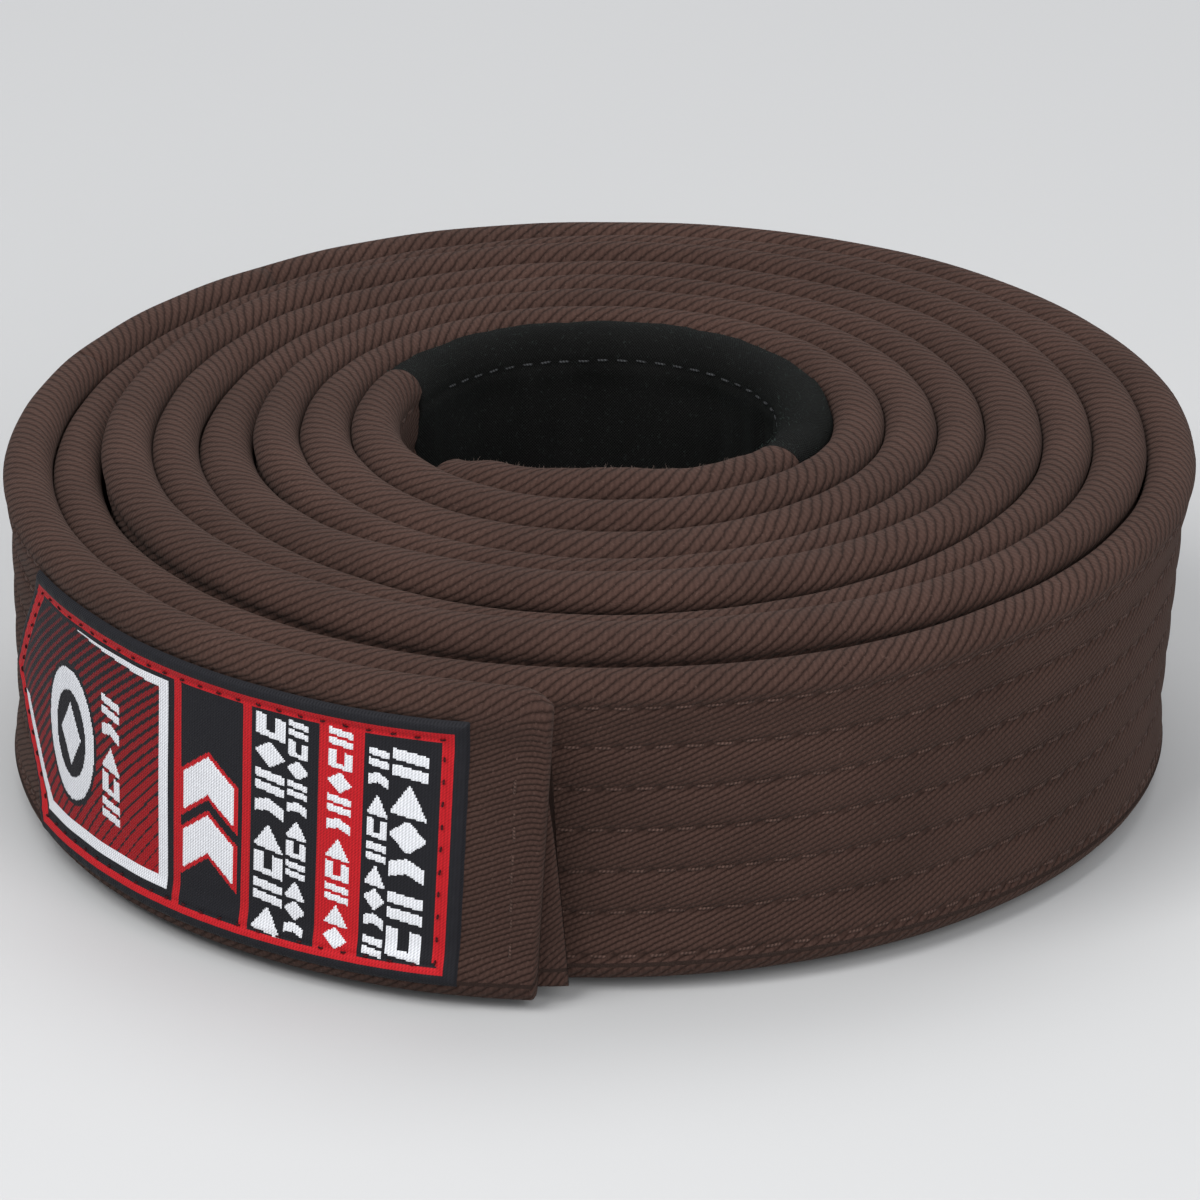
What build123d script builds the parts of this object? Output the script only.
from build123d import *
import os
from math import copysign, cos, degrees, radians, sin

# A quilted cotton rank belt, rolled flat into a spiral that stands on its edge.
# All lengths are in millimetres and all angles in degrees. The roll's axis is +Z, and the
# outer end with its label faces -Y. Angles run along the belt from the inner tip to the
# outer end, without wrapping at 360, counterclockwise as seen from above.

# Belt
BELT_WIDTH = 45.0
BELT_THICKNESS = 5.2
CLOTH = 0.6                 # thickness of the twill cover
EDGE_RADIUS = 1.6           # rounding of the belt's long edges, and of the rank bar's
COVER_HOLLOW_RADIUS = 0.6   # rounding inside the cover's edges
SEAM_GAP = 0.3              # slit of the lapped seam in the cover's inner face
SEAM_HEIGHT = 9.0
CORE_PLIES = 3
CORE_HEIGHT = 41.6
PLY_GAP = 0.06              # play between plies, and between a ply and the cover

# Roll
TIP_ANGLE = 211.0
END_ANGLE = 3145.0
TIP_RADIUS = 24.5           # centreline radius at the inner tip
PITCH = 7.0                 # radial distance from turn to turn
FRONT_SLACK = 0.62          # what the front of the roll adds to the pitch, and the back loses
JUNCTION = 45.0             # the first angle where two arcs of the spiral meet
QUARTER = 90.0

# Quilting
ROWS = 7
ROW_MARGIN = 4.2            # from the belt's edge to the first row
THREAD_WIDTH = 0.5
THREAD_STAND = 0.2          # how far thread stands off the cloth

# Rank bar, a sleeve around the first turn
BAR_START = 330.0
BAR_END = 512
BAR_CLOTH = 0.45
BAR_PLAY = 0.05
BAR_HOLLOW_RADIUS = 1.15    # rounding inside the sleeve's edges
BAR_SQUEEZE = 0.5           # how much the sleeve narrows the belt at each edge
BAR_STITCH_INSET = 5.0      # from the sleeve's long edges to its stitching
BAR_END_INSET = 4.0         # from the sleeve's ends to its upright stitching

# Ends
HEM_INSET = 4.0             # from a belt end to its upright hem stitching
FOLD_LENGTH = 11.0          # cloth turned into an end
FOLD_PROUD = 3.2            # how far the outer end's fold shows past the cover
FOLD_THICKNESS = 1.2

# Label
LABEL_LENGTH = 92.0         # to the tip of its point
LABEL_POINT = 16.0          # length of the point at the label's inner end
LABEL_HEIGHT = 37.3
LABEL_BOTTOM = 2.5
LABEL_END_MARGIN = 10.4
LABEL_THICKNESS = 0.5
LABEL_BORDER = 3.0          # from the label's edge to its stitching
CUT_MARGIN = 6.0            # how far the cuts for its point run past it

# Bends: the angles where the free outer end peels off the roll, and where the tip swings
PEEL_ANGLES = [2990.0, 3020.0, 3050.0]
TIP_BEND = 322.0
BEND_GAP = 0.3              # clearance between the stretches on either side of a bend

HALF = BELT_THICKNESS / 2
FACE = HALF + THREAD_STAND


def polar(radius, angle):
    return Vector(radius * cos(radians(angle)), radius * sin(radians(angle)), 0)


def spiral_arcs():
    """The centreline as arcs, each a centre, a radius and a first and last angle."""
    arcs = []
    centre = Vector(0, 0, 0)
    radius = TIP_RADIUS
    angle = TIP_ANGLE
    slack_step = FRONT_SLACK / (4 * sin(radians(JUNCTION)))
    while angle < END_ANGLE:
        junction = JUNCTION + QUARTER * (1 + (angle - JUNCTION) // QUARTER)
        arcs.append((centre, radius, angle, junction))
        step = PITCH / 4 + copysign(slack_step, sin(radians(junction)))
        centre = centre - polar(step, junction)
        radius = radius + step
        angle = junction
    return arcs


SPIRAL = spiral_arcs()


def arcs_between(first, last):
    """The centreline's arcs from one angle to another."""
    return [
        (centre, radius, max(start, first), min(end, last))
        for centre, radius, start, end in SPIRAL
        if start < last and end > first
    ]


def arc_at(angle):
    for centre, radius, start, end in SPIRAL:
        if start <= angle <= end:
            return centre, radius
    raise ValueError("angle is off the belt")


def along(angle, length):
    """The angle reached from another by going a length along the centreline."""
    radius = arc_at(angle)[1]
    return angle + degrees(length / radius)


def point_on(angle, offset):
    centre, radius = arc_at(angle)
    return centre + polar(radius + offset, angle)


def band(inner, outer, first, last, bottom, height):
    """A strip with square edges, between two offsets from the centreline."""
    arcs = arcs_between(first, last)
    edges = []
    for offset in (inner, outer):
        for centre, radius, start, end in arcs:
            edges.append(CenterArc(centre, radius + offset, start, end - start))
    for angle in (first, last):
        edges.append(Line(point_on(angle, inner), point_on(angle, outer)))
    face = make_face(edges)
    return Pos(0, 0, bottom) * extrude(face, amount=height, dir=(0, 0, 1))


def quarters(section, first, last):
    """A strip in pieces, one for each arc. The section has X as offset and Y as height."""
    pieces = []
    for centre, radius, start, end in arcs_between(first, last):
        plane = Plane(origin=centre, x_dir=polar(1, start), z_dir=polar(1, start - QUARTER))
        face = plane * Pos(radius, 0) * section
        pieces.append(revolve(face, Axis(centre, (0, 0, 1)), end - start))
    return pieces


def fused(pieces):
    return pieces[0].fuse(*pieces[1:]) if len(pieces) > 1 else pieces[0]


def tube_section(thickness, wall, bottom, top, hollow_radius):
    """A flat tube's section: a rounded rectangle with a rounded hollow."""
    height = top - bottom
    middle = Pos(0, (top + bottom) / 2)
    outside = middle * RectangleRounded(thickness, height, EDGE_RADIUS)
    hollow = middle * RectangleRounded(thickness - 2 * wall, height - 2 * wall, hollow_radius)
    return outside - hollow


def cover_section(squeeze):
    section = tube_section(
        BELT_THICKNESS, CLOTH, squeeze, BELT_WIDTH - squeeze, COVER_HOLLOW_RADIUS
    )
    seam = Pos(-HALF + CLOTH / 2, SEAM_HEIGHT) * Rectangle(2 * CLOTH, SEAM_GAP)
    return section - seam


def cover(first, last):
    return fused(quarters(cover_section(0), first, last))


def core_offsets():
    """The inner and outer offset of each core ply, from the roll's inside outwards."""
    room = BELT_THICKNESS - 2 * CLOTH
    pitch = room / CORE_PLIES
    start = -room / 2
    return [
        (start + pitch * ply + PLY_GAP, start + pitch * (ply + 1) - PLY_GAP)
        for ply in range(CORE_PLIES)
    ]


def core_ply(ply, first, last):
    inner, outer = core_offsets()[ply]
    bottom = (BELT_WIDTH - CORE_HEIGHT) / 2
    return band(inner, outer, first, last, bottom, CORE_HEIGHT)


def row_heights():
    pitch = (BELT_WIDTH - 2 * ROW_MARGIN) / (ROWS - 1)
    return [ROW_MARGIN + pitch * row for row in range(ROWS)]


def thread(face, first, last, middle, side):
    """A run of thread along the belt, on the outer side (1) or the inner side (-1)."""
    offsets = sorted((side * face, side * (face + THREAD_STAND)))
    return band(*offsets, first, last, middle - THREAD_WIDTH / 2, THREAD_WIDTH)


def both_sides(face, first, last, middle):
    return [thread(face, first, last, middle, side) for side in (1, -1)]


def upright(face, angle, bottom, top):
    """A row of thread across the belt, on both faces."""
    last = along(angle, THREAD_WIDTH)
    height = top - bottom
    return [
        band(face, face + THREAD_STAND, angle, last, bottom, height),
        band(-face - THREAD_STAND, -face, angle, last, bottom, height),
    ]


def quilting(first, last):
    solids = []
    for height in row_heights():
        solids += both_sides(HALF, first, last, height)
    return solids


def coil_nodes():
    """The roll itself, from the tip's bend to the first peeling bend.

    The cover stays in quarter turns, which are simple enough to be hulls of their own.
    """
    first = TIP_BEND
    last = PEEL_ANGLES[0]
    full = cover_section(0)
    squeezed = cover_section(BAR_SQUEEZE)
    nodes = {}
    nodes["cover"] = (
        quarters(full, first, BAR_START)
        + quarters(squeezed, BAR_START, BAR_END)
        + quarters(full, BAR_END, last)
    )
    for ply, name in enumerate(("core_inner", "core_middle", "core_outer")):
        nodes[name] = core_ply(ply, first, last)
    for row, height in enumerate(row_heights(), start=1):
        nodes[f"stitch_row_{row}"] = both_sides(HALF, first, last, height)
    return nodes


def rank_bar_nodes():
    inside = FACE + BAR_PLAY
    outside = inside + BAR_CLOTH
    section = tube_section(2 * outside, BAR_CLOTH, 0, BELT_WIDTH, BAR_HOLLOW_RADIUS)
    low = BAR_STITCH_INSET
    high = BELT_WIDTH - BAR_STITCH_INSET
    tip_side = along(BAR_START, BAR_END_INSET)
    body_side = along(BAR_END, -BAR_END_INSET)
    after_tip_side = along(tip_side, 2 * THREAD_WIDTH)
    before_body_side = along(body_side, -THREAD_WIDTH)
    return {
        "rank_bar": fused(quarters(section, BAR_START, BAR_END)),
        "rank_bar_top_stitching": both_sides(outside, after_tip_side, before_body_side, high),
        "rank_bar_bottom_stitching": both_sides(outside, after_tip_side, before_body_side, low),
        "rank_bar_tip_stitching": upright(outside, tip_side, low, high),
        "rank_bar_body_stitching": upright(outside, body_side, low, high),
    }


def tip_nodes():
    """The belt's inner end, inside the roll, up to its bend."""
    first = TIP_ANGLE
    last = along(TIP_BEND, -BEND_GAP)
    fold_end = along(first, FOLD_LENGTH)
    core_start = along(fold_end, 2 * PLY_GAP)
    hem = along(first, HEM_INSET)
    rows_start = along(hem, 2 * THREAD_WIDTH)
    room = HALF - CLOTH - PLY_GAP
    bottom = (BELT_WIDTH - CORE_HEIGHT) / 2
    return {
        "tip_cover": cover(first, last),
        "tip_core": [core_ply(ply, core_start, last) for ply in range(CORE_PLIES)],
        "tip_fold": band(-room, room, first, fold_end, bottom, CORE_HEIGHT),
        "tip_quilting": quilting(rows_start, last),
        "tip_hem_stitching": upright(HALF, hem, ROW_MARGIN, BELT_WIDTH - ROW_MARGIN),
    }


def tail_nodes(number, first, last, core_end, rows_end):
    return {
        f"tail_{number}_cover": cover(first, last),
        f"tail_{number}_core": [core_ply(ply, first, core_end) for ply in range(CORE_PLIES)],
        f"tail_{number}_quilting": quilting(first, rows_end),
    }


def pointed_sheet(back, front, first, last, height, point):
    """A sheet at the label's height, whose inner end comes to a point half way up."""
    middle_height = LABEL_BOTTOM + LABEL_HEIGHT / 2
    sheet = band(back, front, first, last, middle_height - height / 2, height)
    halfway = along(first, point / 2)
    tangent = Plane(
        origin=point_on(halfway, FACE) + Vector(0, 0, middle_height),
        x_dir=polar(1, halfway + QUARTER),
        z_dir=polar(1, halfway),
    )
    reach = point / 2
    rise = height / 2
    for side in (1, -1):
        corner = make_face(Polyline(
            (-reach, 0),
            (reach, side * rise),
            (reach, side * (rise + CUT_MARGIN)),
            (-reach - CUT_MARGIN, side * (rise + CUT_MARGIN)),
            (-reach - CUT_MARGIN, 0),
            close=True,
        ))
        sheet -= tangent * extrude(corner, amount=CUT_MARGIN, both=True)
    return sheet


def label_outline(back, front, inset):
    """The label's outline moved in by a distance, as a pointed sheet."""
    rise = LABEL_HEIGHT / 2
    slant = (LABEL_POINT ** 2 + rise ** 2) ** 0.5 / rise
    last = along(END_ANGLE, -LABEL_END_MARGIN - inset)
    first = along(END_ANGLE, -LABEL_END_MARGIN - LABEL_LENGTH + inset * slant)
    point = LABEL_POINT * (rise - inset) / rise
    return pointed_sheet(back, front, first, last, LABEL_HEIGHT - 2 * inset, point)


def label_nodes():
    front = FACE + LABEL_THICKNESS
    proud = front + THREAD_STAND
    thread_loop = label_outline(front, proud, LABEL_BORDER)
    thread_loop -= label_outline(FACE, proud + THREAD_STAND, LABEL_BORDER + THREAD_WIDTH)
    return {
        "woven_label": label_outline(FACE, front, 0),
        "label_stitching": thread_loop,
    }


def outer_end_nodes():
    """The cloth turned into the outer end, which shows past the cover, and its hem."""
    first = along(END_ANGLE, -FOLD_LENGTH)
    last = along(END_ANGLE, FOLD_PROUD)
    bottom = (BELT_WIDTH - CORE_HEIGHT) / 2
    inner = -HALF + CLOTH + PLY_GAP
    hem = along(END_ANGLE, -HEM_INSET)
    return {
        "end_fold": band(inner, inner + FOLD_THICKNESS, first, last, bottom, CORE_HEIGHT),
        "end_hem_stitching": upright(HALF, hem, ROW_MARGIN, BELT_WIDTH - ROW_MARGIN),
    }


def belt():
    nodes = coil_nodes()
    nodes.update(rank_bar_nodes())
    nodes.update(tip_nodes())
    starts = [along(angle, BEND_GAP) for angle in PEEL_ANGLES]
    ends = PEEL_ANGLES[1:] + [END_ANGLE]
    for number, (first, last) in enumerate(zip(starts, ends), start=1):
        outer = last == END_ANGLE
        core_end = along(last, -FOLD_LENGTH - 2 * PLY_GAP) if outer else last
        rows_end = along(last, -HEM_INSET - THREAD_WIDTH) if outer else last
        nodes.update(tail_nodes(number, first, last, core_end, rows_end))
    nodes.update(outer_end_nodes())
    nodes.update(label_nodes())
    return nodes


def joined(shapes):
    """One compound with the solids of several shapes."""
    return Compound([solid for shape in shapes for solid in shape.solids()])


# The origin is the middle of the whole roll's footprint, on the surface it stands on.
nodes = {
    name: joined(shape if isinstance(shape, list) else [shape])
    for name, shape in belt().items()
}
whole = joined(nodes.values()).bounding_box()
to_origin = Pos(-whole.center().X, -whole.center().Y, -whole.min.Z)

os.makedirs("parts", exist_ok=True)
for name, shape in nodes.items():
    export_step(to_origin * shape, f"parts/{name}.step")
